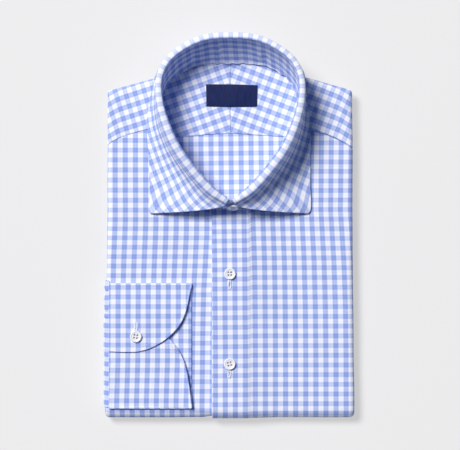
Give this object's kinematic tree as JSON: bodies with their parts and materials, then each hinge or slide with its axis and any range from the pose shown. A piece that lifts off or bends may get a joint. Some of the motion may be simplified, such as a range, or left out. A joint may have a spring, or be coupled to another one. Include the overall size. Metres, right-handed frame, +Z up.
{
  "type": "folded long sleeve dress shirt",
  "caption": "Long sleeve dress shirt in blue and white gingham, folded flat, with a standing spread collar, a buttoned placket and a barrel cuff laid across the front.",
  "frame": {"origin": "under the middle of the whole folded shirt, on the surface that it lies on", "axes": "+Z up from the surface through the fronts, +Y towards the collar, +X towards the wearer's left side"},
  "size_m": [0.2314, 0.3522, 0.0541],
  "materials": {
    "gingham_cotton": "matt poplin, yarn dyed check",
    "label_satin": "woven satin",
    "button_resin": "polished"
  },
  "bodies": {
    "root": {"folded_layers": "gingham_cotton", "front_left": "gingham_cotton", "front_right": "gingham_cotton", "yoke_outer_left": "gingham_cotton", "yoke_outer_right": "gingham_cotton", "yoke_inner_left": "gingham_cotton", "yoke_inner_right": "gingham_cotton", "back_panel": "gingham_cotton", "collar_stand": "gingham_cotton", "collar_leaf": "gingham_cotton", "cuff_right": "gingham_cotton", "sleeve_right": "gingham_cotton", "neck_label": "label_satin", "button_collar": "button_resin", "button_front_1": "button_resin", "button_front_2": "button_resin", "button_cuff": "button_resin"}
  },
  "joints": []
}
